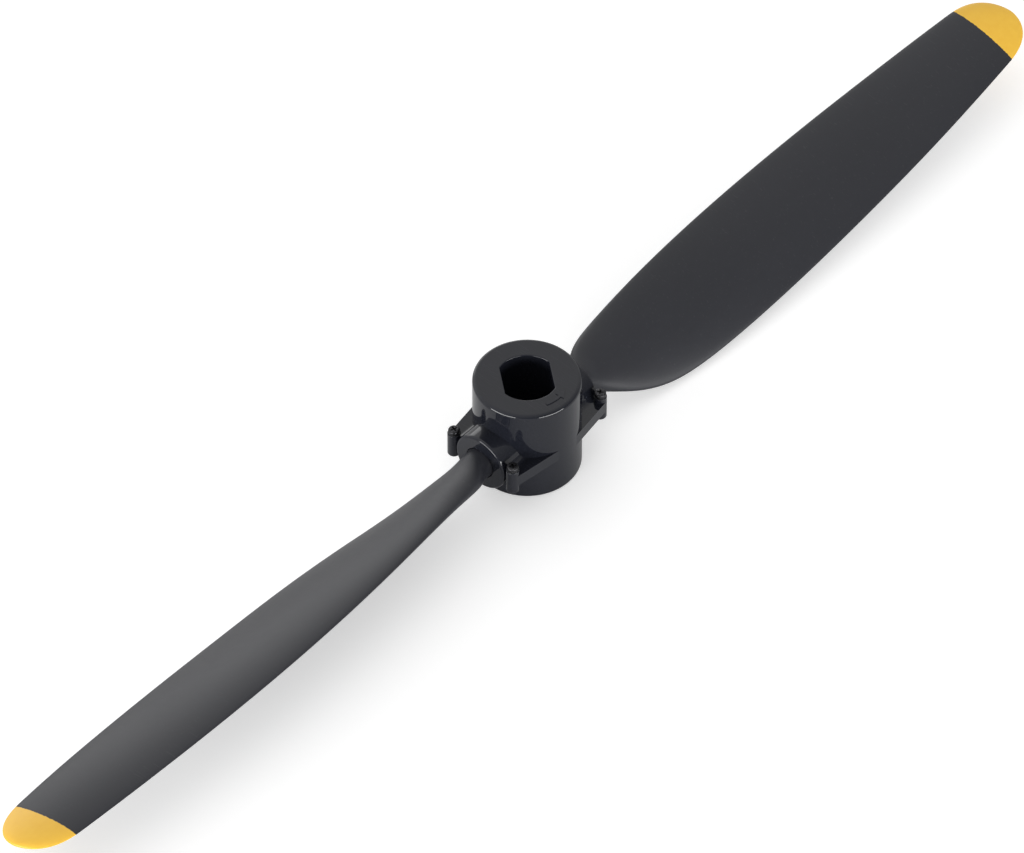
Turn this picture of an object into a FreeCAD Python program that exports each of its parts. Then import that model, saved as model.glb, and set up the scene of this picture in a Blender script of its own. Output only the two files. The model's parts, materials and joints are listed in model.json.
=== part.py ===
"""Two-blade model aircraft propeller with a clamped two-part hub, in millimetres.

The origin is the centre of the shaft bore on the hub's rear face.  +Z points forward, in the
direction of thrust, and +X points along blade_a.  The blades share one axis, which lies in the plane
where the two hub halves part.
"""

import FreeCAD, Part
import math
import os

from FreeCAD import Vector

os.makedirs("parts", exist_ok=True)

# ---------------------------------------------------------------- driving dimensions
PROPELLER_DIAMETER = 279.4
BLADE_AXIS_Z = 9.3                # height of the blade axis above the rear face

HUB_RADIUS = 10.1
HUB_HEIGHT = 21.3
HUB_FRONT_ROUND = 0.8
HUB_REAR_ROUND = 0.6

POCKET_RADIUS = 5.65              # double-D drive pocket in the front face
POCKET_HALF_FLATS = 4.6
POCKET_FLATS_ANGLE = 50.0         # direction of the flats, from +X, in degrees
POCKET_FLOOR_Z = 5.2
POCKET_RIM_ROUND = 0.25
SHAFT_BORE_RADIUS = 3.0

SOCKET_RADIUS = 5.82              # barrels that hold the blade shanks
SOCKET_END_X = 13.35
SOCKET_END_ROUND = 0.5
MOUTH_CHAMFER = 0.15

PLATE_HALF_THICKNESS = 1.25       # clamp plates, one on each half
PLATE_HUB_RADIUS = 10.05
WEB_ROUND = 1.5                   # hollow round between a socket barrel and its plate

BOSS_X = 12.3
BOSS_Y = 7.1
BOSS_RADIUS = 1.25
BOSS_TOP = 2.35                   # above the blade axis
BOSS_DEPTH = 3.0                  # below the blade axis
BOSS_TOP_ROUND = 0.15
BOSS_FOOT_ROUND = 0.35

SCREW_HEAD_RADIUS = 1.12
SCREW_HEAD_HEIGHT = 0.95
SCREW_HEAD_ROUND = 0.4
SCREW_LENGTH = 4.5
SCREW_RADIUS = 0.7
SCREW_SHOULDER = 0.01             # the plain shank ends this far above the parting plane
SCREW_THREAD_RADIUS = 0.66
SCREW_CLEARANCE_RADIUS = 0.8
RECESS_LENGTH = 1.24
RECESS_WIDTH = 0.3
RECESS_DEPTH = 0.5
RECESS_TURN = 20.0                # degrees

SHANK_RADIUS = 3.03
SHANK_INNER_X = 7.3
SHANK_OUTER_X = 13.5              # the true cylinder ends just outside the socket
COLLAR_RADIUS = 4.6
COLLAR_X = (8.1, 10.3)
FIT_GAP = 0.06                    # running fit between a blade root and its seat
STOP_RADIUS = 5.15                # lug that limits how far a blade turns in its socket
STOP_WIDTH = 1.4
STOP_TRAVEL = 10.0                # degrees each way
STOP_SLACK = 1.0                  # degrees left at each end of the travel

ARROW_RADIUS = 7.6                # raised turning arrow on the front face
ARROW_WIDTH = 0.6
ARROW_HEAD_WIDTH = 1.9
ARROW_ANGLES = (-112.0, -88.0, -74.0)
ARROW_HEIGHT = 0.15

SPARE = 1.0                       # how far a cutting shape runs past what it cuts
TOLERANCE = 1e-6

# ---------------------------------------------------------------- blade shape
# Stations along the blade: radius, chord, thickness, pitch angle, then the leading edge's offset
# ahead of the blade axis and its height above it.  They are the poles of one smooth spline.
BLADE_STATIONS = (
    (9.0, 5.98, 5.98, 33.0, 2.508, 1.628),
    (11.5, 5.98, 5.98, 33.0, 2.508, 1.628),
    (13.6, 5.98, 5.98, 33.0, 2.508, 1.628),
    (14.4, 5.98, 5.98, 33.0, 2.508, 1.628),
    (15.6, 6.8, 5.7, 33.8, 3.0, 1.9),
    (17.4, 9.6, 5.0, 34.2, 4.3, 2.4),
    (20.2, 12.5, 4.3, 35.0, 5.2, 2.85),
    (25.0, 16.2, 3.5, 37.6, 5.8, 3.25),
    (32.0, 19.6, 2.9, 37.1, 6.6, 3.5),
    (42.0, 21.2, 2.4, 32.5, 7.65, 3.5),
    (57.0, 21.9, 2.05, 27.4, 8.65, 3.3),
    (74.0, 21.5, 1.85, 23.8, 9.05, 3.1),
    (92.0, 20.3, 1.65, 20.0, 8.9, 3.0),
    (110.0, 18.4, 1.45, 16.4, 8.3, 2.95),
    (127.0, 15.9, 1.25, 12.6, 7.5, 3.05),
    (140.0, 13.4, 1.1, 11.0, 6.6, 3.1),
)
# the skin starts inside the shank's cylinder, and its first sections are close so that it cannot bulge there
BLADE_SECTIONS = (12.5, 13.2, 14.0, 15.0, 16.2, 17.4, 18.7, 20.2, 22.5, 25.0, 28.5, 32.0, 37.0, 42.0, 49.0,
                  57.0, 65.5, 74.0, 83.0, 92.0, 101.0, 110.0, 118.5, 125.0, 129.5)
BLADE_CAMBER = 0.035              # of the chord
SIDE_STEPS = 14                   # points along each side of a section, less one
SECTION_BIAS = 0.3                # moves the thickest part of a section forward
ROUND_TO_SECTION = (14.0, 24.0)   # radii between which the shank becomes a blade section
TIP_START = 129.5                 # where the rounded tip begins
TIP_BLUNTNESS = 2.8               # 2 would be a half ellipse
TIP_LEAD_SHARE = 0.57             # share of the tip's narrowing taken from the leading edge
TIP_STEPS = (0.25, 0.45, 0.62, 0.76, 0.87, 0.94, 0.98, 0.996)
RADIUS_HALVINGS = 40              # steps that find a radius on the station spline

HUB_TOP_Z = HUB_HEIGHT
PARTING = BLADE_AXIS_Z
BLADE_RADIUS = PROPELLER_DIAMETER / 2.0
X_AXIS = Vector(1, 0, 0)
Z_AXIS = Vector(0, 0, 1)
CENTRE = Vector(0, 0, 0)


# ---------------------------------------------------------------- small helpers
def cylinder_z(radius, low, high, x=0.0, y=0.0):
    return Part.makeCylinder(radius, high - low, Vector(x, y, low), Z_AXIS)


def cylinder_x(radius, start, end):
    """A cylinder on the blade axis, from x = start to x = end."""
    return Part.makeCylinder(radius, end - start, Vector(start, 0, PARTING), X_AXIS)


def turned(shape, degrees):
    """A copy of the shape turned about the shaft axis."""
    copy = shape.copy()
    copy.rotate(CENTRE, Z_AXIS, degrees)
    return copy


def round_edges(shape, radius, wanted):
    """Fillet every edge whose middle point passes the test."""
    edges = [edge for edge in shape.Edges if wanted(edge, edge.valueAt(
        (edge.FirstParameter + edge.LastParameter) / 2.0))]
    return shape.makeFillet(radius, edges)


def is_circle(edge, radius):
    return isinstance(edge.Curve, Part.Circle) and abs(edge.Curve.Radius - radius) < TOLERANCE


def boss_places():
    return [(sx * BOSS_X, sy * BOSS_Y) for sx, sy in ((1, 1), (-1, 1), (-1, -1), (1, -1))]


# ---------------------------------------------------------------- hub
def plate_outline():
    """Half of the clamp plate's outline towards +X, tangent to the hub and to both bosses."""
    reach = math.hypot(BOSS_X, BOSS_Y)
    normal = math.atan2(BOSS_Y, BOSS_X) + math.acos((PLATE_HUB_RADIUS - BOSS_RADIUS) / reach)
    nx = math.cos(normal)
    ny = math.sin(normal)
    side = [
        (0.0, PLATE_HUB_RADIUS * ny),
        (PLATE_HUB_RADIUS * nx, PLATE_HUB_RADIUS * ny),
        (BOSS_X + BOSS_RADIUS * nx, BOSS_Y + BOSS_RADIUS * ny),
        (BOSS_X, BOSS_Y),
    ]
    return side + [(x, -y) for x, y in reversed(side)]


def clamp_plates(low, high):
    corners = [Vector(x, y, low) for x, y in plate_outline()]
    face = Part.Face(Part.makePolygon(corners + corners[:1]))
    plate = face.extrude(Vector(0, 0, high - low))
    return plate.fuse(turned(plate, 180.0))


def socket_barrels():
    """Both blade sockets as one rounded-ended cylinder through the hub."""
    barrel = cylinder_x(SOCKET_RADIUS, -SOCKET_END_X, SOCKET_END_X)
    return round_edges(barrel, SOCKET_END_ROUND, lambda edge, at: is_circle(edge, SOCKET_RADIUS))


def slab(low, high):
    size = 4.0 * SOCKET_END_X
    return Part.makeBox(size, size, high - low, Vector(-size / 2.0, -size / 2.0, low))


def clamp(low, high, plate_face):
    """Barrels and plates between two heights, joined by a hollow round along the plates' outer face."""
    barrels = socket_barrels().common(slab(low, high))
    plates = clamp_plates(min(plate_face, PARTING), max(plate_face, PARTING))
    joined = barrels.fuse(plates).removeSplitter()
    return round_edges(joined, WEB_ROUND, lambda edge, at: isinstance(edge.Curve, Part.Line)
                       and abs(at.z - plate_face) < TOLERANCE and abs(at.y) < SOCKET_RADIUS
                       and edge.Length > BOSS_X)


def bosses(low, high, rounded_z, radius):
    """Four screw bosses, each with its free end rounded."""
    solids = []
    for x, y in boss_places():
        boss = cylinder_z(BOSS_RADIUS, low, high, x, y)
        solids.append(round_edges(boss, radius, lambda edge, at: is_circle(edge, BOSS_RADIUS)
                                  and abs(at.z - rounded_z) < TOLERANCE))
    return solids


def root_cavity():
    """The space for one blade root: seat, collar groove, stop window and chamfered mouth."""
    bore = SHANK_RADIUS + FIT_GAP
    seat = cylinder_x(bore, SHANK_INNER_X - FIT_GAP, SOCKET_END_X + SPARE)
    groove = cylinder_x(COLLAR_RADIUS + FIT_GAP, COLLAR_X[0] - FIT_GAP, COLLAR_X[1] + FIT_GAP)
    mouth = Part.makeCone(bore, bore + 2.0 * MOUTH_CHAMFER, 2.0 * MOUTH_CHAMFER,
                          Vector(SOCKET_END_X - MOUTH_CHAMFER, 0, PARTING), X_AXIS)
    return seat.multiFuse([groove, mouth, stop_window()])


def stop_window():
    """A sector below the groove that lets the stop lug swing through its travel."""
    half_width = math.degrees(math.asin(STOP_WIDTH / 2.0 / COLLAR_RADIUS)) + STOP_TRAVEL + STOP_SLACK
    length = COLLAR_X[1] - COLLAR_X[0] + 2.0 * FIT_GAP
    start = Vector(COLLAR_X[0] - FIT_GAP, 0, PARTING)
    sector = Part.makeCylinder(STOP_RADIUS + FIT_GAP, length, start, X_AXIS, 2.0 * half_width)
    # makeCylinder starts its sector at a fixed direction, so it is turned to hang down
    sector.rotate(start, X_AXIS, lowest_turn(sector, start))
    return sector


def lowest_turn(sector, start):
    """How far a sector has to turn about the blade axis to be centred on straight down."""
    middle = sector.CenterOfMass
    angle = math.degrees(math.atan2(middle.z - start.z, middle.y - start.y))
    return -90.0 - angle


def drive_pocket():
    """The double-D pocket, as a cylinder cut by two flats."""
    pocket = cylinder_z(POCKET_RADIUS, POCKET_FLOOR_Z, HUB_TOP_Z + SPARE)
    width = 2.0 * POCKET_HALF_FLATS
    length = 4.0 * POCKET_RADIUS
    keep = Part.makeBox(length, width, HUB_HEIGHT, Vector(-length / 2.0, -width / 2.0, POCKET_FLOOR_Z))
    return pocket.common(turned(keep, POCKET_FLATS_ANGLE))


def shaft_bore():
    return cylinder_z(SHAFT_BORE_RADIUS, -SPARE, POCKET_FLOOR_Z + SPARE)


def turning_arrow():
    """A raised curved arrow that shows which way the propeller turns."""
    tail, neck, point = ARROW_ANGLES
    inner = ARROW_RADIUS - ARROW_WIDTH / 2.0
    outer = ARROW_RADIUS + ARROW_WIDTH / 2.0
    head_inner = ARROW_RADIUS - ARROW_HEAD_WIDTH / 2.0
    head_outer = ARROW_RADIUS + ARROW_HEAD_WIDTH / 2.0

    def at(radius, degrees):
        angle = math.radians(degrees)
        return Vector(radius * math.cos(angle), radius * math.sin(angle), HUB_TOP_Z - ARROW_HEIGHT)

    def bow(radius, start, end):
        return Part.Arc(at(radius, start), at(radius, (start + end) / 2.0), at(radius, end)).toShape()

    outline = Part.Wire([
        bow(outer, tail, neck),
        Part.makeLine(at(outer, neck), at(head_outer, neck)),
        Part.makeLine(at(head_outer, neck), at(ARROW_RADIUS, point)),
        Part.makeLine(at(ARROW_RADIUS, point), at(head_inner, neck)),
        Part.makeLine(at(head_inner, neck), at(inner, neck)),
        bow(inner, neck, tail),
        Part.makeLine(at(inner, tail), at(outer, tail)),
    ])
    return Part.Face(outline).extrude(Vector(0, 0, 2.0 * ARROW_HEIGHT))


def screw_holes(radius, low, high):
    return [cylinder_z(radius, low, high, x, y) for x, y in boss_places()]


def hub_front_half():
    core = cylinder_z(HUB_RADIUS, PARTING, HUB_TOP_Z)
    core = round_edges(core, HUB_FRONT_ROUND, lambda edge, at: is_circle(edge, HUB_RADIUS)
                       and abs(at.z - HUB_TOP_Z) < TOLERANCE)
    grips = clamp(PARTING, PARTING + SOCKET_RADIUS + SPARE, PARTING + PLATE_HALF_THICKNESS)
    studs = bosses(PARTING, PARTING + BOSS_TOP, PARTING + BOSS_TOP, BOSS_TOP_ROUND)
    body = core.multiFuse([grips] + studs).removeSplitter()
    body = body.cut(drive_pocket())
    body = round_edges(body, POCKET_RIM_ROUND, lambda edge, at: abs(at.z - HUB_TOP_Z) < TOLERANCE
                       and math.hypot(at.x, at.y) < POCKET_RADIUS + TOLERANCE)
    body = body.fuse(turning_arrow())
    cavity = root_cavity()
    cutters = [cavity, turned(cavity, 180.0)]
    cutters += screw_holes(SCREW_CLEARANCE_RADIUS, PARTING - SPARE, PARTING + BOSS_TOP + SPARE)
    return body.cut(cutters)


def hub_rear_half():
    core = cylinder_z(HUB_RADIUS, 0.0, PARTING)
    core = round_edges(core, HUB_REAR_ROUND, lambda edge, at: is_circle(edge, HUB_RADIUS)
                       and abs(at.z) < TOLERANCE)
    grips = clamp(PARTING - SOCKET_RADIUS - SPARE, PARTING, PARTING - PLATE_HALF_THICKNESS)
    studs = bosses(PARTING - BOSS_DEPTH, PARTING, PARTING - BOSS_DEPTH, BOSS_FOOT_ROUND)
    body = core.multiFuse([grips] + studs).removeSplitter()
    cavity = root_cavity()
    cutters = [cavity, turned(cavity, 180.0), drive_pocket(), shaft_bore()]
    cutters += screw_holes(SCREW_THREAD_RADIUS, PARTING + BOSS_TOP - SCREW_LENGTH, PARTING + SPARE)
    return body.cut(cutters)


# ---------------------------------------------------------------- screws
def hub_screw(x, y):
    """A pan-head screw with a cross recess, its head seated on a boss."""
    seat = PARTING + BOSS_TOP
    head = cylinder_z(SCREW_HEAD_RADIUS, seat, seat + SCREW_HEAD_HEIGHT, x, y)
    head = round_edges(head, SCREW_HEAD_ROUND, lambda edge, at: is_circle(edge, SCREW_HEAD_RADIUS)
                       and at.z > seat + TOLERANCE)
    shank = cylinder_z(SCREW_RADIUS, PARTING + SCREW_SHOULDER, seat, x, y)
    thread = cylinder_z(SCREW_THREAD_RADIUS, seat - SCREW_LENGTH, PARTING + SCREW_SHOULDER, x, y)
    body = head.multiFuse([shank, thread])
    floor = seat + SCREW_HEAD_HEIGHT - RECESS_DEPTH
    slots = []
    for turn in (0.0, 90.0):
        slot = Part.makeBox(RECESS_LENGTH, RECESS_WIDTH, RECESS_DEPTH + SPARE,
                            Vector(x - RECESS_LENGTH / 2.0, y - RECESS_WIDTH / 2.0, floor))
        slot.rotate(Vector(x, y, floor), Z_AXIS, turn + RECESS_TURN)
        slots.append(slot)
    return body.cut(slots)


# ---------------------------------------------------------------- blades
def station_curve(columns):
    """A smooth curve with the stations as its poles, and three of their columns as its coordinates."""
    curve = Part.BSplineCurve()
    poles = [Vector(*[row[column] for column in columns]) for row in BLADE_STATIONS]
    curve.buildFromPoles(poles, False, 3)
    return curve


SIZE_CURVE = station_curve((0, 1, 2))
PLACE_CURVE = station_curve((3, 4, 5))


def station_values(radius):
    """Chord, thickness, pitch and leading edge at any radius, found by halving the spline's span."""
    low = SIZE_CURVE.FirstParameter
    high = SIZE_CURVE.LastParameter
    for _ in range(RADIUS_HALVINGS):
        middle = (low + high) / 2.0
        if SIZE_CURVE.value(middle).x < radius:
            low = middle
        else:
            high = middle
    size = SIZE_CURVE.value(low)
    place = PLACE_CURVE.value(low)
    return size.y, size.z, place.x, place.y, place.z


def smooth_step(low, high, value):
    t = min(max((value - low) / (high - low), 0.0), 1.0)
    return t * t * (3.0 - 2.0 * t)


def section_points(radius, narrowing=1.0):
    """Points round one section, from the trailing edge over the front side and back under it.

    Narrowing shrinks the section for the tip.
    """
    chord, thickness, pitch, lead_y, lead_z = station_values(radius)
    pitch = math.radians(pitch)
    back = (-math.cos(pitch), -math.sin(pitch))
    up = (-math.sin(pitch), math.cos(pitch))
    blend = smooth_step(ROUND_TO_SECTION[0], ROUND_TO_SECTION[1], radius)
    trim = chord * (1.0 - narrowing) * TIP_LEAD_SHARE
    chord = chord * narrowing
    thickness = thickness * math.sqrt(narrowing)
    points = []
    for k in range(2 * SIDE_STEPS + 1):
        theta = math.pi * (1.0 - k / SIDE_STEPS)
        along = (1.0 - math.cos(theta)) / 2.0
        camber = 4.0 * along * (1.0 - along) * BLADE_CAMBER * blend * chord
        height = camber + thickness / 2.0 * math.sin(theta) * (1.0 + SECTION_BIAS * blend * math.cos(theta))
        reach = trim + chord * along
        points.append(Vector(radius,
                             lead_y + back[0] * reach + up[0] * height,
                             PARTING + lead_z + back[1] * reach + up[1] * height))
    return points


def blade_sections():
    """The point rows of every section, from the round shank out to the rounded tip."""
    rows = [section_points(radius) for radius in BLADE_SECTIONS]
    for step in TIP_STEPS:
        radius = TIP_START + step * (BLADE_RADIUS - TIP_START)
        rows.append(section_points(radius, math.sqrt(1.0 - step ** TIP_BLUNTNESS)))
    return rows


def section_wire(points):
    """A smooth closed curve through one section's points, parted at the leading edge."""
    # every section is spaced alike, so that the skin runs straight from one to the next
    spacing = [k / (2 * SIDE_STEPS) for k in range(2 * SIDE_STEPS + 1)]
    curve = Part.BSplineCurve()
    curve.interpolate(Points=points, Parameters=spacing)
    return Part.Wire([curve.toShape(0.0, 0.5), curve.toShape(0.5, 1.0)])


def blade():
    """One blade with its shank, retaining collar and stop lug, pointing along +X."""
    skin = Part.makeLoft([section_wire(points) for points in blade_sections()], True, False)
    shank = cylinder_x(SHANK_RADIUS, SHANK_INNER_X, SHANK_OUTER_X)
    collar = cylinder_x(COLLAR_RADIUS, COLLAR_X[0], COLLAR_X[1])
    lug = Part.makeBox(COLLAR_X[1] - COLLAR_X[0], STOP_WIDTH, STOP_RADIUS,
                       Vector(COLLAR_X[0], -STOP_WIDTH / 2.0, PARTING - STOP_RADIUS))
    lug = lug.common(cylinder_x(STOP_RADIUS, COLLAR_X[0], COLLAR_X[1]))
    return shank.multiFuse([collar, lug]).fuse(skin)


# ---------------------------------------------------------------- the parts
def write(name, shape):
    solids = shape.Solids
    print(name, "solids", len(solids), "valid", shape.isValid(), "volume %.1f" % shape.Volume, shape.BoundBox)
    shape = solids[0] if len(solids) == 1 else shape
    shape.exportStep("parts/%s.step" % name)


def main():
    write("hub_front_half", hub_front_half())
    write("hub_rear_half", hub_rear_half())
    blade_a = blade()
    write("blade_a", blade_a)
    write("blade_b", turned(blade_a, 180.0))
    for number, (x, y) in enumerate(boss_places(), 1):
        write("hub_screw_%d" % number, hub_screw(x, y))


main()
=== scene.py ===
"""Looks for a two-blade model aircraft propeller with a clamped hub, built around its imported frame."""

import json
import math

import bpy
from bpy.props import FloatProperty, FloatVectorProperty, IntProperty, PointerProperty
from mathutils import Matrix, Vector


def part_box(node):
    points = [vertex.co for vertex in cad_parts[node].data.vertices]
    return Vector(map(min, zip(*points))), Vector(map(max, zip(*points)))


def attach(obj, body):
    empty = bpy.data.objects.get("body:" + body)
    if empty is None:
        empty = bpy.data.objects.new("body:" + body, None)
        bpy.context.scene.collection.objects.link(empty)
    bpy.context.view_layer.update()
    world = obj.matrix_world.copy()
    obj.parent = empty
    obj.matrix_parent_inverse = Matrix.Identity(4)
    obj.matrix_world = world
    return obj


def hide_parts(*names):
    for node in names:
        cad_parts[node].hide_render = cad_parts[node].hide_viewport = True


bl_info = {
    "name": "Model Aircraft Propeller",
    "version": (1, 0, 0),
    "blender": (4, 5, 0),
    "location": "3D View > Sidebar > Propeller",
    "description": "Blades, screws and finishes for a clamped two-blade propeller",
    "category": "Object",
}

MM = 0.001

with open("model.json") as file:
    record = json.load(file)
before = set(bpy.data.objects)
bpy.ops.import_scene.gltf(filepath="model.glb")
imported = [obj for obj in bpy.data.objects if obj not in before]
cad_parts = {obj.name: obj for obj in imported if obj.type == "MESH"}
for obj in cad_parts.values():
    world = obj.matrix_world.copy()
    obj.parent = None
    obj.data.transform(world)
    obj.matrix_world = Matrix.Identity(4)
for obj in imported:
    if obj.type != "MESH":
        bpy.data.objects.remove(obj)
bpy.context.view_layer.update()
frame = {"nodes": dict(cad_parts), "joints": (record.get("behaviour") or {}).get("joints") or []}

# ---------------------------------------------------------------- places read from the frame
HINGES = {joint["child"]: joint for joint in frame["joints"]}
AXIS_HEIGHT = HINGES["blade_a"]["pos_m"][2]
SCREW_NODES = sorted(name for name in frame["nodes"] if name.startswith("hub_screw_"))
FLOOR_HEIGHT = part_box("hub_rear_half")[0].z
TIP_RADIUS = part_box("blade_a")[1].x

# ---------------------------------------------------------------- blade shape, in millimetres and degrees
# radius, chord, thickness, pitch, then the leading edge's offset ahead of the blade axis and its height above
# it; the stations are the poles of one smooth spline.  The chord, pitch and leading-edge columns follow the
# output of another program, and a named rule should replace them.
BLADE_COLUMNS = ("chord", "thickness", "pitch", "lead_y", "lead_z")
BLADE_STATIONS = (
    (9.0, 5.98, 5.98, 33.0, 2.508, 1.628),
    (11.5, 5.98, 5.98, 33.0, 2.508, 1.628),
    (13.6, 5.98, 5.98, 33.0, 2.508, 1.628),
    (14.4, 5.98, 5.98, 33.0, 2.508, 1.628),
    (15.6, 6.8, 5.7, 33.8, 3.0, 1.9),
    (17.4, 9.6, 5.0, 34.2, 4.3, 2.4),
    (20.2, 12.5, 4.3, 35.0, 5.2, 2.85),
    (25.0, 16.2, 3.5, 37.6, 5.8, 3.25),
    (32.0, 19.6, 2.9, 37.1, 6.6, 3.5),
    (42.0, 21.2, 2.4, 32.5, 7.65, 3.5),
    (57.0, 21.9, 2.05, 27.4, 8.65, 3.3),
    (74.0, 21.5, 1.85, 23.8, 9.05, 3.1),
    (92.0, 20.3, 1.65, 20.0, 8.9, 3.0),
    (110.0, 18.4, 1.45, 16.4, 8.3, 2.95),
    (127.0, 15.9, 1.25, 12.6, 7.5, 3.05),
    (140.0, 13.4, 1.1, 11.0, 6.6, 3.1),
)
ANGLE_COLUMNS = ("pitch",)

QUARTER_TURN = math.pi / 2.0
WELD_DISTANCE = 0.0005 * MM       # closes the seams and poles of wrapped grids


# ---------------------------------------------------------------- node tree helpers
class Quantity:
    """A number inside a node tree.  Arithmetic on it adds Math nodes to the tree."""

    def __init__(self, tree, socket):
        self.tree = tree
        self.socket = socket

    def __add__(self, other):
        return maths(self.tree, "ADD", self, other)

    def __radd__(self, other):
        return maths(self.tree, "ADD", other, self)

    def __sub__(self, other):
        return maths(self.tree, "SUBTRACT", self, other)

    def __rsub__(self, other):
        return maths(self.tree, "SUBTRACT", other, self)

    def __mul__(self, other):
        return maths(self.tree, "MULTIPLY", self, other)

    def __rmul__(self, other):
        return maths(self.tree, "MULTIPLY", other, self)

    def __truediv__(self, other):
        return maths(self.tree, "DIVIDE", self, other)

    def __rtruediv__(self, other):
        return maths(self.tree, "DIVIDE", other, self)

    def __pow__(self, other):
        return maths(self.tree, "POWER", self, other)


def feed(tree, slot, value):
    """Link a quantity or socket to a node's slot, or write a plain value into it."""
    if isinstance(value, Quantity):
        tree.links.new(value.socket, slot)
    elif isinstance(value, bpy.types.NodeSocket):
        tree.links.new(value, slot)
    else:
        slot.default_value = value


def maths(tree, operation, *values):
    node = tree.nodes.new("ShaderNodeMath")
    node.operation = operation
    for slot, value in zip(node.inputs, values):
        feed(tree, slot, value)
    return Quantity(tree, node.outputs[0])


def sine(value):
    return maths(value.tree, "SINE", value)


def cosine(value):
    return maths(value.tree, "COSINE", value)


def root(value):
    return maths(value.tree, "SQRT", value)


def least(value, limit):
    return maths(value.tree, "MAXIMUM", value, limit)


def most(value, limit):
    return maths(value.tree, "MINIMUM", value, limit)


def smooth_step(low, high, value):
    """0 below low, 1 above high and a smooth rise between them."""
    share = most(least((value - low) / (high - low), 0.0), 1.0)
    return share * share * (3.0 - 2.0 * share)


def add_node(tree, kind, settings=None, **inputs):
    """A node with its properties set, and its inputs fed by name, where _ stands for a space."""
    node = tree.nodes.new(kind)
    for name, value in (settings or {}).items():
        setattr(node, name, value)
    for name, value in inputs.items():
        feed(tree, node.inputs[name.replace("_", " ")], value)
    return node


def new_tree(name, inputs):
    """A geometry tree with a geometry in and out, and the named inputs as a dict of quantities."""
    tree = bpy.data.node_groups.new(name, "GeometryNodeTree")
    tree.interface.new_socket("Geometry", in_out="INPUT", socket_type="NodeSocketGeometry")
    tree.interface.new_socket("Geometry", in_out="OUTPUT", socket_type="NodeSocketGeometry")
    for label, kind in inputs.items():
        tree.interface.new_socket(label, in_out="INPUT", socket_type=kind)
    entry = tree.nodes.new("NodeGroupInput")
    given = {label: Quantity(tree, entry.outputs[label]) for label in inputs}
    return tree, entry.outputs["Geometry"], given


def close_tree(tree, geometry, material):
    """End a tree with Realize Instances and Set Material."""
    realized = add_node(tree, "GeometryNodeRealizeInstances", Geometry=geometry)
    painted = add_node(tree, "GeometryNodeSetMaterial", Geometry=realized.outputs[0], Material=material)
    leave = tree.nodes.new("NodeGroupOutput")
    tree.links.new(painted.outputs[0], leave.inputs[0])


def combine(tree, x, y, z):
    return add_node(tree, "ShaderNodeCombineXYZ", X=x, Y=y, Z=z).outputs[0]


def mark_sharp(tree, geometry, degrees):
    """Smooth shading, apart from edges that turn by more than the angle."""
    smooth = add_node(tree, "GeometryNodeSetShadeSmooth", {"domain": "FACE"}, Geometry=geometry)
    angle = tree.nodes.new("GeometryNodeInputMeshEdgeAngle").outputs["Unsigned Angle"]
    turns = add_node(tree, "FunctionNodeCompare", {"data_type": "FLOAT", "operation": "GREATER_THAN"})
    tree.links.new(angle, turns.inputs[0])
    turns.inputs[1].default_value = math.radians(degrees)
    sharp = add_node(tree, "GeometryNodeSetShadeSmooth", {"domain": "EDGE"}, Geometry=smooth.outputs[0],
                     Selection=turns.outputs[0])
    sharp.inputs["Shade Smooth"].default_value = False
    return sharp.outputs[0]


def grow(name, tree, base, values):
    """Run a tree on a base mesh and return a new object that holds the result as a plain mesh."""
    source = bpy.data.objects.new(name + "_source", base)
    bpy.context.scene.collection.objects.link(source)
    modifier = source.modifiers.new("Tree", "NODES")
    modifier.node_group = tree
    sockets = {item.name: item.identifier for item in tree.interface.items_tree if item.in_out == "INPUT"}
    for label, value in values.items():
        modifier[sockets[label]] = value
    bpy.context.view_layer.update()
    evaluated = source.evaluated_get(bpy.context.evaluated_depsgraph_get())
    mesh = bpy.data.meshes.new_from_object(evaluated)
    if not mesh.polygons:
        raise RuntimeError("the tree %s made no faces" % tree.name)
    bpy.data.objects.remove(source)
    bpy.data.meshes.remove(base)
    mesh.name = name
    made = bpy.data.objects.new(name, mesh)
    bpy.context.scene.collection.objects.link(made)
    return made


# ---------------------------------------------------------------- materials
PLASTIC_IOR = 1.45

# a Mix node's sockets for colours
MIX_FIRST, MIX_SECOND, MIX_RESULT = 6, 7, 2

# noise patterns: size of the blobs, detail, and the stretch of their scale where they have one
HUB_MOTTLE = (6.0 * MM, 3.0)
HUB_SMEAR = (1.6 * MM, 5.0, (1.0, 1.0, 0.35))
HUB_GRAIN = (0.12 * MM, 3.0)
PAINT_EDGE = (0.5 * MM, 3.0)
BLADE_FLOW = (9.0 * MM, 4.0, (0.25, 1.0, 1.0))
BLADE_GRAIN = (0.16 * MM, 3.0)
BLADE_MOTTLE = (1.4 * MM, 4.0)
SCREW_PATCHES = (0.5 * MM, 5.0)
SCREW_RUBBING = (0.22 * MM, 4.0)
SCREW_TURNING = (0.06 * MM, 2.0, (1.0, 1.0, 0.2))
FLOOR_MOTTLE = (40.0 * MM, 3.0)

# scratches: spacing, turn about each axis in radians, and the noise level above which they show
HUB_MARKS = (0.22 * MM, (0.4, 0.9, 0.3), 0.66)
HUB_CROSS_MARKS = (0.3 * MM, (1.3, 0.2, 1.9), 0.68)
BLADE_MARKS = (0.3 * MM, (0.0, 0.0, 1.2), 0.68)
SCRATCH_NARROWNESS = 0.04         # a scratch's width over its length
SCRATCH_SOFTNESS = 0.04           # rise in noise level across a scratch's edge

# heights of the fine relief
HUB_GRAIN_HEIGHT = 0.0003 * MM
HUB_SCUFF_DEPTH = 0.0005 * MM
BLADE_GRAIN_HEIGHT = 0.006 * MM
BLADE_RIPPLE_HEIGHT = 0.02 * MM
PAINT_THICKNESS = 0.03 * MM
SCREW_TURNING_HEIGHT = 0.004 * MM

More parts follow.
